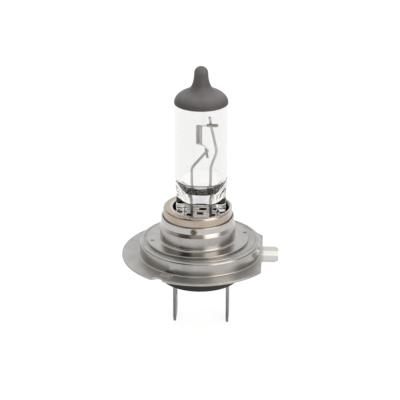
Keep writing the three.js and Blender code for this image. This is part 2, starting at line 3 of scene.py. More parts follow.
import bmesh
import bpy
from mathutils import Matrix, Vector


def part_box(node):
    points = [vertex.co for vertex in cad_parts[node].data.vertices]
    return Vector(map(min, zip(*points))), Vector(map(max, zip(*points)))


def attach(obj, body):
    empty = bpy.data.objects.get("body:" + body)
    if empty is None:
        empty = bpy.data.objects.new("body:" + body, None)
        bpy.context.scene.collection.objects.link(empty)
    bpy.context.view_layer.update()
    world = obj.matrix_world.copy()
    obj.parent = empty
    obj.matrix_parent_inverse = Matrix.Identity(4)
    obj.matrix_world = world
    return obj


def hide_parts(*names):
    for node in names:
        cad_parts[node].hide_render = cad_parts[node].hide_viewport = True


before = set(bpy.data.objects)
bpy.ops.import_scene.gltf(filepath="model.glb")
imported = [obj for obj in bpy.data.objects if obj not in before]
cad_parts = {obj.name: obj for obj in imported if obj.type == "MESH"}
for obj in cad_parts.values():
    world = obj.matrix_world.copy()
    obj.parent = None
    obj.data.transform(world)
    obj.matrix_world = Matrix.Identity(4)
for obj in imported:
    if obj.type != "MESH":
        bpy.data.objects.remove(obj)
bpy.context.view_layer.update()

MM = 0.001  # builders work in millimetres; meshes are made in metres


def cad_box(*nodes):
    """The lowest and highest corners of CAD nodes together, in millimetres."""
    boxes = [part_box(node) for node in nodes]
    low = Vector([round(min(b[0][i] for b in boxes) / MM, 3) for i in range(3)])
    high = Vector([round(max(b[1][i] for b in boxes) / MM, 3) for i in range(3)])
    return low, high


# ------------------------------------------------------------------ outlines


def smooth(x, low=0.0, high=1.0):
    """0 below low, 1 above high, and an even S between them."""
    t = min(1.0, max(0.0, (x - low) / (high - low)))
    return t * t * (3 - 2 * t)


def mix(a, b, t):
    return a + (b - a) * t


def rounded(corners, steps=5):
    """An outline whose corners are rounded. A corner is (x, y) or (x, y, radius)."""
    out = []
    n = len(corners)
    for i, corner in enumerate(corners):
        p = Vector(corner[:2])
        radius = corner[2] if len(corner) > 2 else 0
        if not radius:
            out.append((p.x, p.y))
            continue
        to_last = Vector(corners[i - 1][:2]) - p
        to_next = Vector(corners[(i + 1) % n][:2]) - p
        cut = radius / math.tan(to_last.angle(to_next) / 2)
        start = p + to_last.normalized() * min(cut, to_last.length * 0.98)
        end = p + to_next.normalized() * min(cut, to_next.length * 0.98)
        for k in range(steps + 1):
            t = k / steps
            q = start * (1 - t) ** 2 + p * 2 * t * (1 - t) + end * t * t
            out.append((q.x, q.y))
    return out


def arc(cx, cy, rx, ry, start, end, steps):
    """Points on an ellipse arc, with angles in degrees."""
    turn = [math.radians(mix(start, end, i / steps)) for i in range(steps + 1)]
    return [(cx + rx * math.cos(a), cy + ry * math.sin(a)) for a in turn]


def turns(count=256, dense=()):
    """Angles round a full turn, with extra ones in each (centre, half width, step), all in degrees."""
    angles = {round(360 * i / count, 4) for i in range(count)}
    for centre, half, step in dense:
        for i in range(int(2 * half / step) + 1):
            angles.add(round((centre - half + i * step) % 360, 4))
    return [math.radians(a) for a in sorted(angles)]


# ------------------------------------------------------------------ surfaces


def turned(profile, angles, centre=(0.0, 0.0)):
    """Loops of a turned surface from (radius, height) points. A point on the axis becomes a pole."""
    cx, cy = centre
    loops = []
    for r, z in profile:
        if r < 1e-4:
            loops.append([(cx, cy, z)])
        else:
            loops.append([(cx + r * math.cos(a), cy + r * math.sin(a), z) for a in angles])
    return loops


def skin(loops, closed=False):
    """Vertices and faces that join each loop to the next, and the last to the first when closed."""
    verts, faces, starts = [], [], []
    for loop in loops:
        starts.append(len(verts))
        verts.extend(loop)
    pairs = list(zip(range(len(loops)), range(1, len(loops))))
    if closed:
        pairs.append((len(loops) - 1, 0))
    for a, b in pairs:
        n = max(len(loops[a]), len(loops[b]))
        for i in range(n):
            j = (i + 1) % n
            low = [starts[a] + i, starts[a] + j] if len(loops[a]) > 1 else [starts[a]]
            high = [starts[b] + j, starts[b] + i] if len(loops[b]) > 1 else [starts[b]]
            faces.append(low + high)
    return verts, faces


def tube(points, radius, sides=16):
    """A round wire along points, with rounded ends. radius may be a function of the share of the way."""
    path = [Vector(p) for p in points]
    size = radius if callable(radius) else lambda t: radius
    ahead = [(path[min(i + 1, len(path) - 1)] - path[max(i - 1, 0)]).normalized() for i in range(len(path))]
    side = ahead[0].orthogonal().normalized()
    loops = []
    for i, (p, d) in enumerate(zip(path, ahead)):
        side = (side - d * side.dot(d)).normalized()
        other = d.cross(side)
        r = size(i / (len(path) - 1))
        ends = [(p, r)]
        if i == 0:
            ends = [(p - d * r * 0.35, r * 0.7), (p, r)]
            loops.append([tuple(p - d * r * 0.42)])
        if i == len(path) - 1:
            ends = [(p, r), (p + d * r * 0.35, r * 0.7)]
        for q, s in ends:
            ring = [2 * math.pi * k / sides for k in range(sides)]
            loops.append([tuple(q + (side * math.cos(a) + other * math.sin(a)) * s) for a in ring])
        if i == len(path) - 1:
            loops.append([tuple(p + d * r * 0.42)])
    return skin(loops)


def bent(corners, bend, steps=7, spacing=0.35):
    """Straight runs between corners, joined by rounded bends."""
    path = [Vector(corners[0])]

    def run_to(end):
        start = path[-1]
        count = max(1, round((end - start).length / spacing))
        path.extend(start.lerp(end, (i + 1) / count) for i in range(count))

    for i in range(1, len(corners) - 1):
        p = Vector(corners[i])
        into = p + (Vector(corners[i - 1]) - p).normalized() * bend
        away = p + (Vector(corners[i + 1]) - p).normalized() * bend
        run_to(into)
        for k in range(1, steps + 1):
            t = k / steps
            path.append(into * (1 - t) ** 2 + p * 2 * t * (1 - t) + away * t * t)
    run_to(Vector(corners[-1]))
    return path


def slab(outline, low, high, edge, place):
    """A flat plate with rounded edges. outline is in two axes, low to high is its thickness, and
    place turns (u, v, thickness) into x, y, z."""
    n = len(outline)
    pts = [Vector(p) for p in outline]
    area = sum(pts[i].x * pts[(i + 1) % n].y - pts[(i + 1) % n].x * pts[i].y for i in range(n))
    inward = []
    for i in range(n):
        a = (pts[i] - pts[i - 1]).normalized()
        b = (pts[(i + 1) % n] - pts[i]).normalized()
        t = (a + b).normalized()
        normal = Vector((-t.y, t.x)) * (1 if area > 0 else -1)
        inward.append(normal / max(0.5, normal.dot(Vector((-a.y, a.x)) * (1 if area > 0 else -1))))
    rows = []
    quarter = [math.radians(x) for x in (0, 30, 60, 90)]
    for a in quarter:
        rows.append((edge * (1 - math.sin(a)), low + edge * (1 - math.cos(a))))
    for a in reversed(quarter):
        rows.append((edge * (1 - math.sin(a)), high - edge * (1 - math.cos(a))))
    loops = [[place(*(p + d * inset), t) for p, d in zip(pts, inward)] for inset, t in rows]
    verts, faces = skin(loops)
    faces.append(list(range(n))[::-1])
    faces.append(list(range(len(verts) - n, len(verts))))
    return verts, faces


def piece(name, surfaces, material, nodes, sharp=50):
    """One shown object from closed surfaces in millimetres. It rides on the only body."""
    verts, faces = [], []
    for v, f in surfaces:
        base = len(verts)
        verts.extend(v)
        faces.extend([base + i for i in face] for face in f)
    mesh = bpy.data.meshes.new(name)
    mesh.from_pydata([tuple(Vector(v) * MM) for v in verts], [], faces)
    work = bmesh.new()
    work.from_mesh(mesh)
    bmesh.ops.remove_doubles(work, verts=work.verts, dist=1e-8)
    bmesh.ops.recalc_face_normals(work, faces=work.faces)
    for face in work.faces:
        face.smooth = True
    for e in work.edges:
        if len(e.link_faces) == 2 and e.calc_face_angle(0) > math.radians(sharp):
            e.smooth = False
    work.to_mesh(mesh)
    work.free()
    mesh.materials.append(material)
    obj = bpy.data.objects.new(name, mesh)
    bpy.context.scene.collection.objects.link(obj)
    weighted = obj.modifiers.new("even_shading", "WEIGHTED_NORMAL")
    weighted.keep_sharp = True
    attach(obj, "root")
    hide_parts(*nodes)
    return obj


# ------------------------------------------------------------------ materials


def new_node(tree, kind, inputs=None, **settings):
    """Adds a node. Each input takes a constant or another node's socket."""
    node = tree.nodes.new(kind)
    for key, value in settings.items():
        setattr(node, key, value)
    for key, value in (inputs or {}).items():
        if isinstance(value, bpy.types.NodeSocket):
            tree.links.new(value, node.inputs[key])
        else:
            node.inputs[key].default_value = value
    return node


class Look:
    """A Principled material, with short calls that add its nodes. Lengths are in millimetres."""

    def __init__(self, name, **constants):
        self.material = bpy.data.materials.new(name)
        self.material.use_nodes = True
        self.tree = self.material.node_tree
        self.shader = self.tree.nodes["Principled BSDF"]
        for socket, value in constants.items():
            self.shader.inputs[socket.replace("_", " ")].default_value = value
        where = self.add("ShaderNodeTexCoord").outputs["Object"]
        scaled = self.add("ShaderNodeVectorMath", {0: where, "Scale": 1 / MM}, operation="SCALE")
        self.place = scaled.outputs[0]
        split = self.add("ShaderNodeSeparateXYZ", {0: self.place})
        self.x, self.y, self.z = split.outputs

    def add(self, kind, inputs=None, **settings):
        return new_node(self.tree, kind, inputs, **settings)

    def math(self, operation, a, b=0.0, c=0.0):
        return self.add("ShaderNodeMath", {0: a, 1: b, 2: c}, operation=operation).outputs[0]

    def vector(self, x, y, z):
        return self.add("ShaderNodeCombineXYZ", {0: x, 1: y, 2: z}).outputs[0]

    def noise(self, size, detail=3.0, place=None, stretch=(1, 1, 1)):
        """Noise with blobs of about this size in millimetres, longer along a stretched axis."""
        at = self.place if place is None else place
        scale = tuple(1 / (size * s) for s in stretch)
        near = self.add("ShaderNodeVectorMath", {0: at, 1: scale}, operation="MULTIPLY").outputs[0]
        return self.add("ShaderNodeTexNoise", {"Vector": near, "Scale": 1.0, "Detail": detail}).outputs["Fac"]

    def remap(self, value, low, high, to_low, to_high):
        inputs = {"Value": value, "From Min": low, "From Max": high, "To Min": to_low, "To Max": to_high}
        return self.add("ShaderNodeMapRange", inputs).outputs[0]

    def blend(self, factor, a, b):
        def colour(v):
            return v if isinstance(v, bpy.types.NodeSocket) else (*v, 1)

        node = self.add("ShaderNodeMix", {0: factor}, data_type="RGBA")
        for socket, value in ((node.inputs[6], colour(a)), (node.inputs[7], colour(b))):
            if isinstance(value, bpy.types.NodeSocket):
                self.tree.links.new(value, socket)
            else:
                socket.default_value = value
        return node.outputs[2]

    def band(self, value, low, high, soft):
        """1 between low and high and 0 outside, with soft edges."""
        rise = self.remap(value, low - soft, low + soft, 0.0, 1.0)
        return self.math("MULTIPLY", rise, self.remap(value, high - soft, high + soft, 1.0, 0.0))

    def level(self):
        """Position laid flat on the plane z = 0."""
        flat = self.add("ShaderNodeVectorMath", {0: self.place, 1: (1, 1, 0)}, operation="MULTIPLY")
        return flat.outputs[0]

    def distance(self, place, centre):
        return self.add("ShaderNodeVectorMath", {0: place, 1: centre}, operation="DISTANCE").outputs["Value"]

    def set(self, socket, value):
        self.tree.links.new(value, self.shader.inputs[socket])

    def bump(self, heights, distance):
        """Adds height signals, each with its own strength, as one bump. distance is in millimetres."""
        total = None
        for height, strength in heights:
            part = self.math("MULTIPLY", height, strength)
            total = part if total is None else self.math("ADD", total, part)
        node = self.add("ShaderNodeBump", {"Height": total, "Distance": distance * MM, "Strength": 1.0})
        self.set("Normal", node.outputs[0])

    def round_place(self, along=1.0):
        """Position as (radius, arc length times along, height), for marks that run round a turned part."""
        radius = self.math("SQRT", self.math("ADD", self.math("MULTIPLY", self.x, self.x),
                                             self.math("MULTIPLY", self.y, self.y)))
        angle = self.math("ARCTAN2", self.y, self.x)
        return self.vector(radius, self.math("MULTIPLY", angle, along), self.z)


def level_face(look):
    """1 where the surface looks straight up, 0 on walls."""
    normal = look.add("ShaderNodeNewGeometry").outputs["Normal"]
    up = look.add("ShaderNodeSeparateXYZ", {0: normal}).outputs[2]
    return look.remap(up, 0.8, 0.97, 0.0, 1.0)


def metal_look(name, light, dark, roughness, grain=0.12, lines=0.0, brushed=0.0, zones=(), spots=(),
               matt=0.0):
    """Drawn or stamped sheet metal: soft blotches, fine grain, and faint lines round the part.

    brushed spreads reflections across the lines. zones makes a mask from the look for each colour
    that covers part of the surface. spots are (x, y, z, reach) centres of heat tint."""
    look = Look(name, Metallic=1.0, Anisotropic=brushed, Anisotropic_Rotation=0.25)
    if brushed:
        look.set("Tangent", look.add("ShaderNodeTangent", direction_type="RADIAL", axis="Z").outputs[0])
    blotch = look.noise(3.0, 4.0)
    fine = look.noise(grain, 2.0)
    marks = look.noise(0.05, 2.0, look.round_place(0.6))
    colour = look.blend(look.remap(blotch, 0.35, 0.7, 0.0, 1.0), light, dark)
    for mask, over in zones:
        colour = look.blend(mask(look), colour, over)
    speck = look.remap(fine, 0.35, 0.75, 1.05, 0.92)
    tone = look.add("ShaderNodeVectorMath", {0: colour, "Scale": speck}, operation="SCALE").outputs[0]
    for x, y, z, reach in spots:
        gap = look.distance(look.place, (x, y, z))
        tone = look.blend(look.remap(gap, reach * 0.35, reach, 0.9, 0.0), tone, HEAT_TINT)
    look.set("Base Color", tone)
    low, high = roughness
    rough = look.remap(look.math("ADD", blotch, look.math("MULTIPLY", fine, 0.5)), 0.5, 1.0, low, high)
    look.set("Roughness", look.math("ADD", rough, look.math("MULTIPLY", level_face(look), matt)))
    look.bump([(fine, 1.0), (marks, lines)], 0.006)
    return look.material


def coating_look():
    """Matt heat-proof paint with a fine sprayed grain, with painted shade that darkens it at its rim and up
    the neck.
    """
    look = Look("glare_coating", Metallic=0.0)
    grain = look.noise(0.16, 3.0)
    cloud = look.noise(2.2, 3.0)
    base = look.blend(look.remap(cloud, 0.35, 0.65, 0, 1), (0.168, 0.156, 0.16), (0.21, 0.197, 0.202))
    # Painted shade: darker towards the rim at the bottom of the dome.
    rim = look.remap(look.z, DOME_BASE + 0.6, DOME_BASE + 2.2, 0.85, 0.0)
    base = look.blend(rim, base, (0.04, 0.034, 0.037))
    # Painted shade: a darker band up the neck.
    base = look.blend(look.band(look.z, 37.2, 41.5, 1.1), base, (0.085, 0.075, 0.08))
    look.set("Base Color", look.blend(look.remap(grain, 0.55, 0.8, 0, 0.5), base, (0.22, 0.21, 0.21)))
    look.set("Roughness", look.remap(cloud, 0.3, 0.7, 0.46, 0.62))
    look.bump([(grain, 1.0), (look.noise(0.5, 2.0), 0.6)], 0.02)
    return look.material


def glass_look():
    """Drawn lamp glass: clear and faintly wavy, with a grey tint of painted shade on the outside of the tube.
    """
    look = Look("envelope_glass", IOR=1.47, Transmission_Weight=1.0)
    haze = look.noise(4.0, 3.0)
    waves = look.noise(1.4, 1.0, stretch=(1, 1, 12))
    clear = look.blend(haze, (0.985, 0.987, 0.985), (0.965, 0.967, 0.963))
    away = look.distance(look.level(), (GLASS_SHIFT, 0, 0))
    # Painted shade: the tube's outer wall above the pinch is tinted grey, and the pinch stays clear.
    wall = look.math("MULTIPLY", look.remap(away, GLASS_INNER + 0.3, GLASS_RADIUS - 0.3, 0.0, 1.0),
                     look.remap(look.z, FLARE_HIGH - 1, FLARE_HIGH, 0.0, 1.0))
    look.set("Base Color", look.blend(wall, clear, (0.822, 0.822, 0.82)))
    look.set("Roughness", look.remap(haze, 0.45, 0.75, 0.0, 0.02))
    look.bump([(waves, 1.0)], 0.004)
    return look.material


def plastic_look():
    """Moulded dark insulator with a coarse matt skin."""
    look = Look("insulator_plastic")
    grain = look.noise(0.22, 3.0)
    cloud = look.noise(1.8, 2.0)
    patchy = look.remap(cloud, 0.3, 0.7, 0, 1)
    look.set("Base Color", look.blend(patchy, (0.007, 0.006, 0.005), (0.015, 0.012, 0.011)))
    look.set("Roughness", look.remap(grain, 0.3, 0.7, 0.42, 0.7))
    look.bump([(grain, 1.0), (cloud, 0.8)], 0.03)
    return look.material


HEAT_TINT = (0.12, 0.09, 0.065)


def collar_band_painted_reflection(look):
    """The collar's upper band, painted lighter than the wall below it as a painted reflection."""
    return look.remap(look.z, SHOULDER_LOW + 0.3, SHOULDER_TOP, 0.0, 1.0)


def ring_lip_painted_highlight(look):
    """The rolled edge of the ring's opening, painted lighter as a painted highlight."""
    away = look.distance(look.place, (RING_HOLE_SHIFT, 0, RING_TOP))
    return look.remap(away, RING_HOLE + 0.45, RING_HOLE + 0.7, 1.0, 0.0)


def groove_painted_highlight(look):
    """The floor of the locating tab's trough, painted light cream as a painted highlight."""
    across = look.band(look.y, -TAB_GROOVE_HALF, TAB_GROOVE_HALF, 0.08)
    past_disc = look.remap(look.x, FLAT_DISTANCE - 0.1, FLAT_DISTANCE + 0.5, 0.0, 1.0)
    return look.math("MULTIPLY", across, past_disc)


def blade_face_painted_shade(look):
    """The blades' flat faces, painted darker than their edges as painted shade."""
    normal = look.add("ShaderNodeNewGeometry").outputs["Normal"]
    across = look.add("ShaderNodeSeparateXYZ", {0: normal}).outputs[0]
    return look.remap(look.math("ABSOLUTE", across), 0.6, 0.9, 0.0, 1.0)


def blade_tip_painted_shade(look):
    """The blades' ends, painted darker with painted shade that fades out upwards."""
    return look.remap(look.z, BLADE_TIP, BLADE_TIP + 9, 1.0, 0.0)


def tab_painted_highlight(look):
    """The locating tab, painted lighter than the flange as a painted highlight."""
    return look.remap(look.x, FLAT_DISTANCE - 0.2, FLAT_DISTANCE + 0.6, 0.0, 1.0)


def make_materials():
    # Painted highlight: a light cream strip along the floor of the tab's trough.
    # Painted highlight: the locating tab is painted lighter than the flange.
    cap_zones = [(tab_painted_highlight, (0.62, 0.61, 0.595)), (groove_painted_highlight, (0.95, 0.93, 0.87))]
    # Painted reflection: the collar's upper band is painted lighter than its wall.
    collar_zones = [(collar_band_painted_reflection, (0.54, 0.53, 0.525))]
    # Painted shade: the blades' flat faces and their lower ends are painted darker.
    blade_zones = [(blade_face_painted_shade, (0.12, 0.112, 0.106)), (blade_tip_painted_shade, (0.15, 0.14, 0.135))]
    return {
        "cap_steel": metal_look("cap_steel", (0.47, 0.46, 0.445), (0.40, 0.39, 0.375), (0.15, 0.24),
                                lines=0.5, brushed=0.5, zones=cap_zones, matt=0.2),
        "collar_steel": metal_look("collar_steel", (0.47, 0.46, 0.45), (0.41, 0.40, 0.385), (0.12, 0.2),
                                   lines=0.6, brushed=0.5, zones=collar_zones, spots=WELD_SPOTS),
        # Painted highlight: the rolled lip of the ring's opening is painted lighter.
        "ring_nickel": metal_look("ring_nickel", (0.50, 0.437, 0.37), (0.445, 0.385, 0.32), (0.16, 0.26),
                                  lines=0.8, brushed=0.6, zones=[(ring_lip_painted_highlight, (0.60, 0.58, 0.55))]),
        "holder_steel": metal_look("holder_steel", (0.96, 0.955, 0.94), (0.92, 0.915, 0.90), (0.16, 0.28)),
        "terminal_steel": metal_look("terminal_steel", (0.33, 0.315, 0.30), (0.25, 0.237, 0.228), (0.24, 0.4),
                                     zones=blade_zones),
        "lead_wire": metal_look("lead_wire", (0.62, 0.61, 0.60), (0.5, 0.49, 0.475), (0.3, 0.42), grain=0.08),
        "filament_wire": metal_look("filament_wire", (0.9, 0.885, 0.865), (0.6, 0.585, 0.57), (0.35, 0.5),
                                    grain=0.06),
        "crimp_metal": metal_look("crimp_metal", (0.46, 0.42, 0.375), (0.34, 0.3, 0.26), (0.35, 0.5),
                                  grain=0.08),
        "weld_mark": metal_look("weld_mark", (0.20, 0.165, 0.13), (0.10, 0.08, 0.065), (0.35, 0.55),
                                grain=0.1),
        "foot_mark": metal_look("foot_mark", (0.30, 0.28, 0.26), (0.2, 0.185, 0.17), (0.35, 0.55), grain=0.1),
        "glare_coating": coating_look(),
        "envelope_glass": glass_look(),
        "insulator_plastic": plastic_look(),
    }


# ------------------------------------------------------------------ cap

cap_low, cap_high = cad_box("base_flange")
SHEET = 0.5
DISC_RADIUS = 12.9
DISC_TOP = cap_high.z
DISC_SHOULDER = 0.58
DISC_FOOT = 0.3
CAP_HOLE = 7.2
SEAT_GROOVE = ((11.78, 3.1, 0.02), (11.84, 3.0, 0.03), (11.94, 3.0, 0.03), (12.02, 3.1, 0.03))
LOBE_RADIUS = -cap_low.x
SIDE_RADIUS = 16.25
FLAT_DISTANCE = 13.4
NOTCH_ANGLE = 120
NOTCH_FLOOR = 15.5
NOTCH_BOTTOM_HALF = 0.45
NOTCH_MOUTH_HALF = 1.5
TAB_REACH = cap_high.x
TAB_HALF = 3.6
TAB_CHAMFER = (0.6, 0.96)
TAB_GROOVE_HALF = 1.2
TAB_GROOVE_DEPTH = 0.3
TAB_GROOVE_WALL = 0.3
RIM_ROUND = 0.09
PAD_ANGLE = 117.5
PAD_INNER = 13.05
PAD_OUTER = 15.1
PAD_HALF_LENGTH = 1.8
PAD_RISE = 0.32
PAD_RIDGE_PITCH = 0.66
PAD_RIDGE = 0.09


def rim_radius(angle):
    """How far the flange reaches at this angle, from the disc's axis."""
    degrees = math.degrees(angle) % 360
    off_tab = degrees - 360 if degrees > 180 else degrees
    body = LOBE_RADIUS if abs(off_tab) > NOTCH_ANGLE else SIDE_RADIUS
    cos, sin = math.cos(angle), abs(math.sin(angle))
    away = math.radians(abs(off_tab) - NOTCH_ANGLE) * body
    floor = NOTCH_FLOOR + 0.3 * min(1, abs(away)) ** 2
    notch = mix(floor, body, smooth(abs(away), NOTCH_BOTTOM_HALF, NOTCH_MOUTH_HALF))
    body = min(body, notch)
    if cos > 0.3:
        body = min(body, FLAT_DISTANCE / cos)
        cut_x, cut_y = TAB_CHAMFER
        corner = (TAB_REACH * cut_y + (TAB_HALF - cut_y) * cut_x) / (cut_y * cos + cut_x * sin)
        tab = min(TAB_REACH / cos, TAB_HALF / max(sin, 1e-6), corner)
        body = max(body, tab)
    return body


def tab_groove(x, y):
    """Depth of the trough pressed along the locating tab."""
    across = 1 - smooth(abs(y), TAB_GROOVE_HALF - TAB_GROOVE_WALL, TAB_GROOVE_HALF)
    return TAB_GROOVE_DEPTH * across * smooth(x, FLAT_DISTANCE - 0.5, FLAT_DISTANCE + 0.2)


def pad_height(x, y):
    """Height of the ridged pads coined between the disc's foot and the notches."""
    total = 0.0
    for sign in (-1, 1):
        a = math.radians(sign * PAD_ANGLE)
        out = x * math.cos(a) + y * math.sin(a)
        along = (-x * math.sin(a) + y * math.cos(a)) * sign
        if out < PAD_INNER - 0.3 or abs(along) > PAD_HALF_LENGTH:
            continue
        inside = smooth(out, PAD_INNER - 0.2, PAD_INNER + 0.1) * (
            1 - smooth(abs(along), PAD_HALF_LENGTH - 0.9, PAD_HALF_LENGTH))
        fade = 1 - smooth(out, PAD_OUTER - 0.5, PAD_OUTER)
        ridge = fade * math.sin(2 * math.pi * along / PAD_RIDGE_PITCH)
        total += inside * (PAD_RISE * (1 - smooth(out, PAD_INNER, PAD_OUTER)) + PAD_RIDGE * ridge)
    return total


def build_cap(looks):
    dense = [(s * NOTCH_ANGLE, 9, 0.2) for s in (-1, 1)]
    dense += [(s * PAD_ANGLE, 8, 0.25) for s in (-1, 1)]
    dense += [(0, 16.5, 0.25), (4.4, 1.4, 0.08), (-4.4, 1.4, 0.08), (34.44, 1, 0.25), (-34.44, 1, 0.25)]
    angles = turns(400, dense)
    outline = [Vector((math.cos(a), math.sin(a))) * rim_radius(a) for a in angles]
    n = len(outline)
    inward = []
    for i in range(n):
        t = (outline[(i + 1) % n] - outline[i - 1]).normalized()
        inward.append(Vector((-t.y, t.x)))
    top = rounded([(CAP_HOLE, DISC_TOP - SHEET), (CAP_HOLE, DISC_TOP, 0.05), *SEAT_GROOVE,
                   (DISC_RADIUS, DISC_TOP - 0.02, DISC_SHOULDER), (DISC_RADIUS, 0, DISC_FOOT),
                   (DISC_RADIUS + 0.35, 0)], 6)
    under = rounded([(DISC_RADIUS, -SHEET), (DISC_RADIUS - SHEET, -SHEET, 0.3),
                     (DISC_RADIUS - SHEET, DISC_TOP - SHEET, 0.3), (CAP_HOLE + 0.4, DISC_TOP - SHEET)], 5)
    loops = turned(top, angles)
    foot = DISC_RADIUS + 0.35
    for k in range(1, 25):
        t = k / 24
        row = []
        for a, p, d in zip(angles, outline, inward):
            start = Vector((math.cos(a), math.sin(a))) * foot
            q = start.lerp(p + d * RIM_ROUND, t)
            row.append((q.x, q.y, pad_height(*q) - tab_groove(*q)))
        loops.append(row)
    for turn in (30, 60, 90, 270, 300, 330, 360):
        a = math.radians(turn)
        upper = turn <= 90
        z = -RIM_ROUND + RIM_ROUND * math.cos(a) if upper else -SHEET + RIM_ROUND - RIM_ROUND * math.cos(a)
        inset = RIM_ROUND * (1 - abs(math.sin(a)))
        row = []
        for p, d in zip(outline, inward):
            q = p + d * inset
            row.append((q.x, q.y, z - tab_groove(*q)))
        loops.append(row)
    for k in range(1, 9):
        t = k / 8
        row = []
        for a, p, d in zip(angles, outline, inward):
            end = Vector((math.cos(a), math.sin(a))) * DISC_RADIUS
            q = (p + d * RIM_ROUND).lerp(end, t)
            row.append((q.x, q.y, -SHEET - tab_groove(*q)))
        loops.append(row)
    loops += turned(under[1:], angles)
    piece("cap_flange", [skin(loops, True)], looks["cap_steel"], ["base_flange"])


# ------------------------------------------------------------------ collar and focusing ring

collar_low, collar_high = cad_box("collar")
ring_low, ring_high = cad_box("focusing_ring")
COLLAR_SHIFT = (collar_low.x + collar_high.x) / 2
COLLAR_SHEET = 0.33
FOOT_RADIUS = collar_high.y
FOOT_TOP = 3.6
COLLAR_LOW = 8.1
COLLAR_HIGH = 7.8
COLLAR_TOP = collar_high.z
SHOULDER_TOP = 7.35
SHOULDER_LOW = 6.5
FOOT_FILLET = 0.5
SEAM_ANGLE = -21
SEAM_DEPTH = 0.28
SEAM_HALF = 0.3
SEAM_FLOOR = 7.5
RING_RADIUS = ring_high.y
RING_SHEET = 0.45
RING_TOP = ring_high.z
RING_BOTTOM = ring_low.z
RING_LIP = 0.85
RING_HOLE = 6.1
RING_HOLE_SHIFT = 0.3
WELD_ANGLES = (30, 150, 267)
WELD_HEIGHT = 7.95
WELD_SPOTS = [(COLLAR_SHIFT + COLLAR_HIGH * math.cos(math.radians(a)),
               COLLAR_HIGH * math.sin(math.radians(a)), WELD_HEIGHT, 0.95) for a in WELD_ANGLES]
FOOT_WELD_ANGLES = (15, 195)
FOOT_WELD_CIRCLE = 10.15
FOOT_WELD_SHIFT = -0.25


def build_collar(looks):
    t = COLLAR_SHEET
    profile = rounded([
        (COLLAR_HIGH - t, COLLAR_TOP, 0.1), (COLLAR_HIGH, COLLAR_TOP, 0.16),
        (COLLAR_HIGH, SHOULDER_TOP, 0.25), (COLLAR_LOW, SHOULDER_LOW, 0.3),
        (COLLAR_LOW, FOOT_TOP, FOOT_FILLET), (FOOT_RADIUS, FOOT_TOP, 0.14),
        (FOOT_RADIUS, DISC_TOP + 0.02, 0.06), (COLLAR_LOW - t, DISC_TOP + 0.02, 0.3),
        (COLLAR_LOW - t, SHOULDER_LOW - 0.1, 0.2), (COLLAR_HIGH - t, SHOULDER_TOP - 0.2, 0.2),
    ], 6)
    angles = turns(288, [(SEAM_ANGLE, 2, 0.2)])
    loops = []
    for loop, (r, z) in zip(turned(profile, angles), profile):
        row = []
        for (x, y, height), a in zip(loop, angles):
            off = abs((math.degrees(a) - SEAM_ANGLE + 180) % 360 - 180)
            gap = math.radians(off) * r
            above = smooth(z, SEAM_FLOOR - 0.1, SEAM_FLOOR)
            cut = SEAM_DEPTH * above * (1 - smooth(gap, SEAM_HALF * 0.5, SEAM_HALF))
            cut = min(cut, max(0.0, r - (COLLAR_HIGH - t)))
            row.append((x * (1 - cut / r) + COLLAR_SHIFT, y * (1 - cut / r), height))
        loops.append(row)
    piece("collar_tube", [skin(loops, True)], looks["collar_steel"], ["collar"])


def build_ring(looks):
    """The cup's wall is round about the collar's axis, and its opening about the glass."""
    t = RING_SHEET
    lip, hole = RING_LIP, RING_HOLE
    wall = rounded([
        (hole + 0.75, RING_TOP), (RING_RADIUS, RING_TOP, lip), (RING_RADIUS, RING_BOTTOM, 0.1),
        (RING_RADIUS - t, RING_BOTTOM, 0.1), (RING_RADIUS - t, RING_TOP - t, lip - t),
        (hole + 0.6, RING_TOP - t),
    ], 9)
    opening = rounded([(hole + 0.3, RING_TOP - t), (hole, RING_TOP - t, 0.12), (hole, RING_TOP - 0.02, 0.22),
                       (hole + 0.45, RING_TOP)], 6)
    angles = turns(288)
    loops = turned(wall, angles, (COLLAR_SHIFT, 0)) + turned(opening, angles, (RING_HOLE_SHIFT, 0))
    piece("focusing_cup", [skin(loops, True)], looks["ring_nickel"], ["focusing_ring"])


def build_welds(looks):
    """Fused spots: a low crater with a raised rim."""
    crater = rounded([(0, 0.03), (0.2, 0.03, 0.08), (0.33, 0.12, 0.1), (0.52, 0.06, 0.1), (0.6, 0.01)], 4)
    ring = [2 * math.pi * i / 40 for i in range(40)]
    for i, angle in enumerate(WELD_ANGLES):
        a = math.radians(angle)
        out = Vector((math.cos(a), math.sin(a), 0))
        side = Vector((-math.sin(a), math.cos(a), 0))
        origin = Vector((COLLAR_SHIFT, 0, WELD_HEIGHT))

        def at(r, h, t):
            across, up = r * math.cos(t), r * math.sin(t)
            sag = math.sqrt(COLLAR_HIGH ** 2 - across ** 2)
            return tuple(origin + out * (sag + h) + side * across + Vector((0, 0, up)))

        loops = [[at(0, -0.1, 0)], [at(0.6, -0.1, t) for t in ring]]
        for r, h in reversed(crater[1:]):
            wobble = [r * (1 + 0.05 * math.sin(3 * t + i) + 0.03 * math.sin(7 * t)) for t in ring]
            loops.append([at(w, h, t) for w, t in zip(wobble, ring)])
        loops.append([at(0, crater[0][1], 0)])
        piece(f"collar_weld_{i + 1}", [skin(loops)], looks["weld_mark"], [f"ring_weld_{i + 1}"])
    for i, angle in enumerate(FOOT_WELD_ANGLES):
        a = math.radians(angle)
        centre = (FOOT_WELD_CIRCLE * math.cos(a) + FOOT_WELD_SHIFT, FOOT_WELD_CIRCLE * math.sin(a))
        dimple = [(0, 0.02), (0.16, 0.025), (0.27, 0.05), (0.36, 0.05), (0.42, 0.01), (0.42, -0.08),
                  (0, -0.08)]
        loops = turned([(r, FOOT_TOP + h) for r, h in dimple], ring, centre)
        piece(f"foot_spot_{i + 1}", [skin(loops)], looks["foot_mark"], [f"foot_weld_{i + 1}"])


# ------------------------------------------------------------------ glass and coating

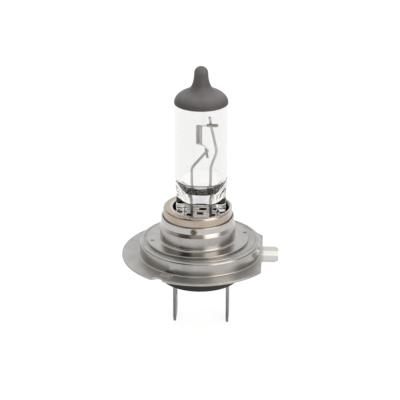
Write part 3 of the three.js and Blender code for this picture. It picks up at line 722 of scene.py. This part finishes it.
glass_low, glass_high = cad_box("glass_envelope")
GLASS_SHIFT = (glass_low.x + glass_high.x) / 2
GLASS_RADIUS = glass_high.y
GLASS_INNER = 4.5
PINCH_HALF_WIDTH = 5.3
PINCH_HALF_THICK = 1.15
PINCH_BEAD = 1.55
PINCH_BOTTOM = glass_low.z
FLARE_LOW_MIDDLE = 11.7
FLARE_LOW_SIDE = 13.3
FLARE_HIGH = 17.2
CAVITY_FLOOR = 14.6
CAVITY_FLARE = 17.2
CAVITY_SLIT = (2.75, 0.5)
DOME_BASE = cad_box("anti_glare_cap")[0].z
DOME_RISE = 3.0
INNER_DOME_RISE = 2.2
NECK_ANGLE = 58
NECK_CURVE = ((1.7, 37.4), (1.42, 39.7))
TIP_RADIUS = 1.36
TIP_TOP = glass_high.z
COATING_GAP = 0.02
COATING_THICK = 0.09


def envelope_outline(grow=0.0):
    """The dome, the neck and the exhaust tip, as (radius, height), from the tube's top to the axis."""
    dome = arc(0, DOME_BASE, GLASS_RADIUS + grow, DOME_RISE + grow, 0, NECK_ANGLE, 14)
    start = Vector(dome[-1])
    pull, end = [Vector((r + grow, z)) for r, z in NECK_CURVE]
    neck = []
    for i in range(1, 13):
        t = i / 12
        neck.append(tuple(start * (1 - t) ** 2 + pull * 2 * t * (1 - t) + end * t * t))
    tip = arc(0, TIP_TOP - TIP_RADIUS, TIP_RADIUS + grow, TIP_RADIUS + grow, 0, 90, 12)
    tip[-1] = (0.0, tip[-1][1])
    return dome + neck + tip


def pinch_point(t):
    """A point on the pinch's section, a flat plate with a thicker bead along each side."""
    c, s = math.cos(t), math.sin(t)
    x = PINCH_HALF_WIDTH * math.copysign(abs(c) ** 0.55, c)
    thick = mix(PINCH_HALF_THICK, PINCH_BEAD, smooth(abs(x), 3.3, 4.1))
    return x, thick * math.copysign(abs(s) ** 0.4, s)


def flare_low(x):
    """The pinch starts to open lower down at its middle than at its beads."""
    return mix(FLARE_LOW_MIDDLE, FLARE_LOW_SIDE, smooth(abs(x), 2.6, 5.0))


def build_glass(looks):
    steps = [2 * math.pi * i / 160 for i in range(160)]

    def circle(z, radius):
        return [(radius * math.cos(t) + GLASS_SHIFT, radius * math.sin(t), z) for t in steps]

    def pressed(z, shrink=1.0):
        """A section of the pinch, which opens into the round tube."""
        loop = []
        for t in steps:
            x, y = pinch_point(t)
            low = flare_low(x)
            open_share = min(1.0, max(0.0, (z - low) / (FLARE_HIGH - low)))
            loop.append((mix(x * shrink, GLASS_RADIUS * math.cos(t), open_share) + GLASS_SHIFT,
                         mix(y * shrink, GLASS_RADIUS * math.sin(t), open_share), z))
        return loop

    def hollow(z):
        """A section of the cavity, which opens from a slit into the round bore."""
        share = min(1.0, (z - CAVITY_FLOOR) / (CAVITY_FLARE - CAVITY_FLOOR))
        share = mix(share, smooth(share), 0.5)
        return [(mix(CAVITY_SLIT[0], GLASS_INNER, share) * math.cos(t) + GLASS_SHIFT,
                 mix(CAVITY_SLIT[1], GLASS_INNER, share) * math.sin(t), z) for t in steps]

    outer = [[(GLASS_SHIFT, 0, PINCH_BOTTOM)]]
    outer += [pressed(PINCH_BOTTOM + rise, shrink) for rise, shrink in ((0, 0.93), (0.05, 0.97), (0.2, 1.0))]
    z = PINCH_BOTTOM + 0.6
    while z < FLARE_HIGH + 0.2:
        outer.append(pressed(z))
        z += 0.15 if z > FLARE_LOW_MIDDLE - 0.5 else 0.6
    outer += [circle(mix(FLARE_HIGH + 0.5, DOME_BASE - 0.3, i / 11), GLASS_RADIUS) for i in range(12)]
    outer += [circle(h, r) if r > 1e-4 else [(GLASS_SHIFT, 0, h)] for r, h in envelope_outline()]

    floor = hollow(CAVITY_FLOOR)
    inner = [[(GLASS_SHIFT, 0, CAVITY_FLOOR)]]
    inner.append([((x - GLASS_SHIFT) * 0.8 + GLASS_SHIFT, y * 0.8, CAVITY_FLOOR + 0.03) for x, y, _ in floor])
    inner += [hollow(mix(CAVITY_FLOOR + 0.1, CAVITY_FLARE + 0.1, i / 18)) for i in range(19)]
    inner += [circle(mix(CAVITY_FLARE + 0.6, DOME_BASE - 0.3, i / 11), GLASS_INNER) for i in range(12)]
    inner += [circle(h, r) if r > 1e-4 else [(GLASS_SHIFT, 0, h)]
              for r, h in arc(0, DOME_BASE, GLASS_INNER, INNER_DOME_RISE, 0, 90, 12)]
    envelope = piece("glass_bulb", [skin(outer)], looks["envelope_glass"], ["glass_envelope"])
    add_void(envelope, skin(inner))


def add_void(obj, surface):
    """Adds an inner surface that faces into its own hollow."""
    verts, faces = surface
    work = bmesh.new()
    hollow = bpy.data.meshes.new("hollow")
    hollow.from_pydata([tuple(Vector(v) * MM) for v in verts], [], faces)
    work.from_mesh(hollow)
    bmesh.ops.recalc_face_normals(work, faces=work.faces)
    bmesh.ops.reverse_faces(work, faces=work.faces)
    for face in work.faces:
        face.smooth = True
    work.from_mesh(obj.data)
    work.to_mesh(obj.data)
    work.free()
    bpy.data.meshes.remove(hollow)


def build_coating(looks):
    outside = envelope_outline(COATING_GAP + COATING_THICK)
    inside = envelope_outline(COATING_GAP)
    low = outside[0][1]
    rim = outside[0][0]
    edge = rounded([(rim, low), (rim - 0.02, low - 0.06, 0.03), (inside[0][0], low - 0.04)], 3)
    profile = [inside[-1]] + inside[-2::-1] + edge[::-1][1:] + outside[1:]
    loops = turned(profile, turns(160), (GLASS_SHIFT, 0))
    piece("glare_cap", [skin(loops)], looks["glare_coating"], ["anti_glare_cap"])


# ------------------------------------------------------------------ filament and leads

COIL_X = -0.2
COIL_BOTTOM = 25.0
COIL_LENGTH = 4.1
COIL_RADIUS = 0.6
COIL_TURNS = 17
COIL_WIRE = 0.095
LEAD_WIRE = 0.28
FRONT = -0.58
LONG_LEAD = ((2.26, 0, 2.75), (2.26, 0, 19.8), (3.56, 0, 23.4), (2.31, 0, 29.2), (2.04, 0, 31.0))
SHORT_LEAD = ((-1.75, 0, 2.75), (-1.75, 0, 19.6), (1.62, 0, 23.6))
LEAD_BEND = 0.75
UPPER_CRIMP = (2.62, FRONT, 29.4)
LOWER_CRIMP = (1.43, FRONT, 23.2)
LOWER_CRIMP_TILT = -11
CRIMP_THICK = 0.46


def build_filament(looks):
    top = COIL_BOTTOM + COIL_LENGTH
    points = [(2.9, FRONT, top + 0.3), (1.5, FRONT, top + 0.3), (0.85, FRONT, top + 0.2)]
    per = 18
    for i in range(COIL_TURNS * per + 1):
        a = -math.pi / 3 - 2 * math.pi * i / per
        z = top - COIL_LENGTH * i / (COIL_TURNS * per)
        points.append((COIL_X + COIL_RADIUS * math.cos(a), COIL_RADIUS * math.sin(a), z))
    points += [(0.75, FRONT, COIL_BOTTOM - 0.08), (1.05, FRONT, COIL_BOTTOM - 0.25),
               (1.2, FRONT, COIL_BOTTOM - 0.65), (1.33, FRONT, COIL_BOTTOM - 1.3)]
    piece("coil", [tube(points, COIL_WIRE, 8)], looks["filament_wire"], ["filament"])


def build_leads(looks):
    for name, corners in (("long_lead", LONG_LEAD), ("short_lead", SHORT_LEAD)):
        wire = tube(bent(corners, LEAD_BEND), LEAD_WIRE, 20)
        piece(name, [wire], looks["lead_wire"], [f"{name}_wire"])


def sleeve(length, width, thick, centre, tilt):
    """A flattened sleeve along its own length, squeezed at the middle, with rounded mouths."""
    loops = []
    rows = [(-0.5, 0.86), (-0.49, 0.97), (-0.46, 1.0), (-0.2, 1.0), (-0.1, 0.84), (0.1, 0.84), (0.2, 1.0),
            (0.46, 1.0), (0.49, 0.97), (0.5, 0.86)]
    a = math.radians(tilt)
    along = Vector((math.cos(a), 0, math.sin(a)))
    up = Vector((-math.sin(a), 0, math.cos(a)))
    origin = Vector(centre)
    for share, size in rows:
        loop = []
        for k in range(28):
            t = 2 * math.pi * k / 28
            y = thick / 2 * size * math.copysign(abs(math.sin(t)) ** 0.8, math.sin(t))
            u = width / 2 * math.copysign(abs(math.cos(t)) ** 0.7, math.cos(t)) * mix(1.0, size, -0.6)
            loop.append(tuple(origin + along * (length * share) + up * u + Vector((0, y, 0))))
        loops.append(loop)
    verts, faces = skin(loops)
    faces.append(list(range(28)))
    faces.append(list(range(len(verts) - 28, len(verts))))
    return verts, faces


def build_crimps(looks):
    upper = sleeve(2.3, 0.62, CRIMP_THICK, UPPER_CRIMP, 0)
    lower = sleeve(2.1, 0.52, CRIMP_THICK, LOWER_CRIMP, 90 - LOWER_CRIMP_TILT)
    for name, body in (("upper_crimp", upper), ("lower_crimp", lower)):
        piece(f"{name}_sleeve", [body], looks["crimp_metal"], [name])


# ------------------------------------------------------------------ insulator and terminals

insulator_low, insulator_high = cad_box("insulator")
blade_low, blade_high = cad_box("terminal_left", "terminal_right")
INSULATOR_PLUG = insulator_high.y
INSULATOR_PLUG_TOP = insulator_high.z
INSULATOR_BOSS = 8.6
INSULATOR_BOTTOM = insulator_low.z
INSULATOR_EDGE = 0.15
BLADE_SHIFT = (blade_low.x + blade_high.x) / 2
BLADE_SPACING = 11.4
BLADE_THICK = 0.55
BLADE_HALF = blade_high.y
BLADE_TAIL = 1.7
BLADE_TIP = blade_low.z
BLADE_CHAMFER = 1.1
NIB_HEIGHT = -9.7


def upright(u, v, height):
    """A slab's outline laid level, so that it rises along Z."""
    return u, v, height


def build_insulator(looks):
    profile = rounded([
        (0, INSULATOR_BOTTOM + 0.5),
        (2.2, INSULATOR_BOTTOM + 0.5, 0.1),
        (2.4, INSULATOR_BOTTOM, 0.1),
        (INSULATOR_BOSS, INSULATOR_BOTTOM, INSULATOR_EDGE),
        (INSULATOR_BOSS, -3.1, 0.05),
        (INSULATOR_BOSS - 0.12, -3.05, 0.05),
        (INSULATOR_BOSS - 0.12, -0.7, 0.1),
        (INSULATOR_PLUG, -0.7, 0.3),
        (INSULATOR_PLUG, INSULATOR_PLUG_TOP, 0.4),
        (0, INSULATOR_PLUG_TOP),
    ], 5)
    surfaces = [skin(turned(profile, turns(192)))]
    root = INSULATOR_BOTTOM + 0.5
    for side in (-1, 1):
        x = BLADE_SHIFT + side * BLADE_SPACING / 2
        corners = [(x - 0.95, -3.6), (x + 0.95, -3.6), (x + 0.95, 3.6), (x - 0.95, 3.6)]
        collar = rounded([(*corner, 0.35) for corner in corners], 4)
        surfaces.append(slab(collar, INSULATOR_BOTTOM - 0.13, root, 0.06, upright))
    for angle in (45, 135, 225, 315):
        a = math.radians(angle)
        rib = [(3.0, -0.3), (7.2, -0.3), (7.2, 0.3), (3.0, 0.3)]
        rib = [(u * math.cos(a) - v * math.sin(a), u * math.sin(a) + v * math.cos(a)) for u, v in rib]
        surfaces.append(slab(rib, INSULATOR_BOTTOM - 0.1, root, 0.05, upright))
    piece("insulator_body", surfaces, looks["insulator_plastic"], ["insulator"])


def build_terminals(looks):
    shoulder = INSULATOR_BOTTOM - 0.15
    lug_top = INSULATOR_PLUG_TOP + 0.1 + BLADE_THICK
    for side, node in ((-1, "terminal_left"), (1, "terminal_right")):
        x = BLADE_SHIFT + side * BLADE_SPACING / 2
        outline = rounded([
            (-BLADE_HALF + BLADE_CHAMFER, BLADE_TIP, 0.3),
            (BLADE_HALF - BLADE_CHAMFER, BLADE_TIP, 0.3),
            (BLADE_HALF, BLADE_TIP + BLADE_CHAMFER * 1.3, 0.3),
            (BLADE_HALF, shoulder, 0.1),
            (BLADE_TAIL, shoulder, 0.1),
            (BLADE_TAIL, lug_top),
            (-BLADE_TAIL, lug_top),
            (-BLADE_TAIL, shoulder, 0.1),
            (-BLADE_HALF, shoulder, 0.1),
            (-BLADE_HALF, BLADE_TIP + BLADE_CHAMFER * 1.3, 0.3),
        ], 5)
        half = BLADE_THICK / 2
        blade = slab(outline, x - half, x + half, 0.13, lambda u, v, t: (t, u, v))
        lead_x = SHORT_LEAD[0][0] if side < 0 else LONG_LEAD[0][0]
        near, far = sorted((x, lead_x + side * (LEAD_WIRE + 0.08)))
        lug = slab([(near, -BLADE_TAIL), (far, -BLADE_TAIL), (far, BLADE_TAIL), (near, BLADE_TAIL)],
                   lug_top - BLADE_THICK, lug_top, 0.1, upright)
        ring = [2 * math.pi * k / 36 for k in range(36)]
        nib = []
        for r, h in ((0, 0.12), (0.45, 0.11), (0.62, 0.05), (0.75, -0.02), (0.75, -0.1), (0, -0.1)):
            face = x - side * (half + h)
            nib.append([(face, 0, NIB_HEIGHT)] if r == 0 else
                       [(face, r * math.cos(t), NIB_HEIGHT + r * math.sin(t)) for t in ring])
        piece(f"blade_{'left' if side < 0 else 'right'}", [blade, lug, skin(nib)], looks["terminal_steel"],
              [node])


# ------------------------------------------------------------------ pinch holder

HOLDER_SHEET = 0.3
holder_low, holder_high = cad_box("pinch_holder_front", "pinch_holder_rear")
HOLDER_HALF_WIDTH = (holder_high.x - holder_low.x) / 2
HOLDER_CELL = 0.1
REAR_PROFILE = ((1.75, 5.0), (1.75, 7.6), (2.35, 8.7), (2.0, 8.85), (2.45, 9.6), (2.25, 9.7), (2.6, 10.3))
FRONT_PROFILE = ((-3.4, 5.0), (-3.4, 7.0), (-1.75, 8.7))
# Each slot is (centre x, half width, lowest height, highest height), each boss (x, height).
REAR_SLOTS = ((-2.8, 0.22, 9.15, 9.35), (0.3, 0.75, 9.05, 9.55), (2.8, 0.42, 9.1, 9.5),
              (-2.75, 0.42, 7.75, 8.35), (-0.3, 0.7, 8.1, 8.6), (2.4, 0.5, 7.75, 8.35))
REAR_BOSSES = ((-3.85, 9.3), (3.85, 9.3), (-3.9, 8.2), (3.7, 8.2))
FRONT_SLOTS = ((-2.75, 0.42, 6.2, 6.8), (0, 0.7, 6.2, 6.8), (2.75, 0.42, 6.2, 6.8))
BOSS_RADIUS = 0.55
BOSS_RISE = 0.22


def stations(low, high, marks):
    """Even steps from low to high that also land on every mark."""
    edges = sorted({low, high, *(m for m in marks if low < m < high)})
    out = [edges[0]]
    for a, b in zip(edges, edges[1:]):
        count = max(1, round((b - a) / HOLDER_CELL))
        out += [mix(a, b, (i + 1) / count) for i in range(count)]
    return out


def pressed_sheet(face, corners, slots, bosses):
    """A thin sheet across x that follows the (depth, height) corners, with slots cut and bosses raised.

    face is +1 for a sheet that looks towards the rear and -1 for one that looks to the front."""
    heights = stations(corners[0][1], corners[-1][1], [z for slot in slots for z in slot[2:]])
    columns = stations(-HOLDER_HALF_WIDTH, HOLDER_HALF_WIDTH,
                       [x + side * half for x, half, _, _ in slots for side in (-1, 1)])

    def depth(z):
        for (d0, z0), (d1, z1) in zip(corners, corners[1:]):
            if z <= z1:
                return mix(d0, d1, smooth(z, z0, z1) if z1 - z0 < 1 else (z - z0) / (z1 - z0))
        return corners[-1][0]

    def raised(x, z):
        return sum(BOSS_RISE * (1 - smooth(math.hypot(x - bx, z - bz), BOSS_RADIUS * 0.45, BOSS_RADIUS))
                   for bx, bz in bosses)

    def kept(i, j):
        if not (0 <= i < len(columns) - 1 and 0 <= j < len(heights) - 1):
            return False
        x, z = (columns[i] + columns[i + 1]) / 2, (heights[j] + heights[j + 1]) / 2
        return not any(abs(x - sx) < half and low < z < high for sx, half, low, high in slots)

    verts, index = [], {}

    def vert(i, j, side):
        if (i, j, side) not in index:
            x, z = columns[i], heights[j]
            y = depth(z) + face * (side * HOLDER_SHEET) - raised(x, z)
            index[i, j, side] = len(verts)
            verts.append((x + GLASS_SHIFT, y, z))
        return index[i, j, side]

    faces = []
    for i in range(len(columns) - 1):
        for j in range(len(heights) - 1):
            if not kept(i, j):
                continue
            ring = [(i, j), (i + 1, j), (i + 1, j + 1), (i, j + 1)]
            for side in (0, 1):
                faces.append([vert(*p, side) for p in ring])
            beside = [(i, j - 1), (i + 1, j), (i, j + 1), (i - 1, j)]
            for k, cell in enumerate(beside):
                if not kept(*cell):
                    a, b = ring[k], ring[(k + 1) % 4]
                    faces.append([vert(*a, 0), vert(*b, 0), vert(*b, 1), vert(*a, 1)])
    return verts, faces


def build_holder(looks):
    """The rear plate rises in leaning steps. The front plate leans in and grips the glass."""
    rear = pressed_sheet(1, REAR_PROFILE, REAR_SLOTS, REAR_BOSSES)
    front = pressed_sheet(-1, FRONT_PROFILE, FRONT_SLOTS, ())
    piece("holder_rear", [rear], looks["holder_steel"], ["pinch_holder_rear"])
    piece("holder_front", [front], looks["holder_steel"], ["pinch_holder_front"])


# ------------------------------------------------------------------ studio

CAMERA_AZIMUTH = 3.2
CAMERA_ELEVATION = 22.95
CAMERA_DISTANCE = 0.3642
CAMERA_AIM = Vector((0, 0, 0.01209))
CAMERA_LENS = 153.9


def toward(azimuth, elevation=0.0):
    """The direction of something seen from the object, with azimuth from the camera's side (-Y)."""
    a, e = math.radians(azimuth), math.radians(elevation)
    return Vector((math.sin(a) * math.cos(e), -math.cos(a) * math.cos(e), math.sin(e)))


def build_camera():
    camera = bpy.data.objects.new("camera", bpy.data.cameras.new("camera"))
    bpy.context.scene.collection.objects.link(camera)
    back = toward(CAMERA_AZIMUTH, CAMERA_ELEVATION)
    camera.location = CAMERA_AIM + back * CAMERA_DISTANCE
    camera.rotation_euler = (-back).to_track_quat("-Z", "Y").to_euler()
    camera.data.lens = CAMERA_LENS
    camera.data.clip_start = 0.01
    bpy.context.scene.camera = camera


FLOOR_GLOW = 0.9
FLOOR_GLOW_IN_METAL = 0.75


def build_floor():
    """A plain white lit table under the blade tips. Polished metal picks it up dimmer."""
    size, z = 4.0, BLADE_TIP * MM
    mesh = bpy.data.meshes.new("floor")
    corners = [(-size, -size, z), (size, -size, z), (size, size, z), (-size, size, z)]
    mesh.from_pydata(corners, [], [(0, 1, 2, 3)])
    floor = bpy.data.objects.new("floor", mesh)
    bpy.context.scene.collection.objects.link(floor)
    look = Look("floor_white", Roughness=0.7)
    look.shader.inputs["Emission Color"].default_value = (1, 1, 1, 1)
    look.shader.inputs["Base Color"].default_value = (0.18, 0.18, 0.18, 1)
    ray = look.add("ShaderNodeLightPath").outputs
    reflected = look.math("SUBTRACT", ray["Is Glossy Ray"], ray["Is Transmission Ray"])
    look.set("Emission Strength", look.remap(reflected, 0.0, 1.0, FLOOR_GLOW, FLOOR_GLOW_IN_METAL))
    mesh.materials.append(look.material)


def build_world():
    """A white room. On the camera's side it is dimmer and warmer, with one soft lamp and one dark screen."""
    world = bpy.data.worlds.new("studio")
    bpy.context.scene.world = world
    world.use_nodes = True
    tree = world.node_tree
    tree.nodes.clear()

    def add(kind, inputs=None, **settings):
        return new_node(tree, kind, inputs, **settings)

    way = add("ShaderNodeTexCoord").outputs["Generated"]
    height = add("ShaderNodeSeparateXYZ", {0: way}).outputs[2]
    level = add("ShaderNodeVectorMath", {0: way, 1: (1, 1, 0)}, operation="MULTIPLY").outputs[0]
    level = add("ShaderNodeVectorMath", {0: level}, operation="NORMALIZE").outputs[0]

    def step(value, low, high):
        inputs = {"Value": value, "From Min": low, "From Max": high}
        return add("ShaderNodeMapRange", inputs, interpolation_type="SMOOTHSTEP").outputs[0]

    def card(under, azimuth, half_width, soft, low, high, colour):
        aim = add("ShaderNodeVectorMath", {0: level, 1: toward(azimuth)}, operation="DOT_PRODUCT")
        facing = aim.outputs["Value"]
        edge = [math.cos(math.radians(min(half_width + s, 180))) for s in (soft, -soft)]
        across = step(facing, *edge)
        heights = (low - soft / 2, low + soft / 2, high - soft / 2, high + soft / 2)
        rise = [math.sin(math.radians(h)) for h in heights]
        up = step(height, rise[0], rise[1])
        down = step(height, rise[3], rise[2])
        both = add("ShaderNodeMath", {0: up, 1: down}, operation="MULTIPLY").outputs[0]
        mask = add("ShaderNodeMath", {0: both, 1: across}, operation="MULTIPLY").outputs[0]
        node = add("ShaderNodeMix", {0: mask}, data_type="RGBA")
        tree.links.new(under, node.inputs[6])
        node.inputs[7].default_value = (*colour, 1)
        return node.outputs[2]

    base = add("ShaderNodeRGB")
    base.outputs[0].default_value = (1.0, 1.0, 1.0, 1)
    colour = base.outputs[0]
    for each in ROOM:
        colour = card(colour, *each)
    lit = add("ShaderNodeBackground", {"Color": colour, "Strength": 1.0})
    plain = add("ShaderNodeBackground", {"Color": (1, 1, 1, 1), "Strength": 1.02})
    direct = add("ShaderNodeLightPath").outputs["Is Camera Ray"]
    chosen = add("ShaderNodeMixShader", {0: direct, 1: lit.outputs[0], 2: plain.outputs[0]})
    out = add("ShaderNodeOutputWorld")
    tree.links.new(chosen.outputs[0], out.inputs["Surface"])


# Each card is (azimuth, half width, softness, lowest and highest elevation, colour), in degrees.
ROOM = (
    (CAMERA_AZIMUTH, 135, 18, -4, 38, (0.46, 0.41, 0.36)),
    (CAMERA_AZIMUTH - 40, 17, 10, -4, 52, (0.09, 0.078, 0.066)),
    (CAMERA_AZIMUTH + 44, 21, 9, 2, 46, (2.5, 2.35, 2.15)),
)


def build_studio():
    build_camera()
    build_floor()
    build_world()
    cycles = bpy.context.scene.cycles
    cycles.max_bounces = 24
    cycles.glossy_bounces = 16
    cycles.transmission_bounces = 24
    settings = bpy.context.scene.view_settings
    settings.view_transform = "Standard"
    settings.look = "None"


# ------------------------------------------------------------------ all together

looks = make_materials()
build_cap(looks)
build_collar(looks)
build_ring(looks)
build_welds(looks)
build_glass(looks)
build_coating(looks)
build_filament(looks)
build_leads(looks)
build_crimps(looks)
build_insulator(looks)
build_terminals(looks)
build_holder(looks)
build_studio()
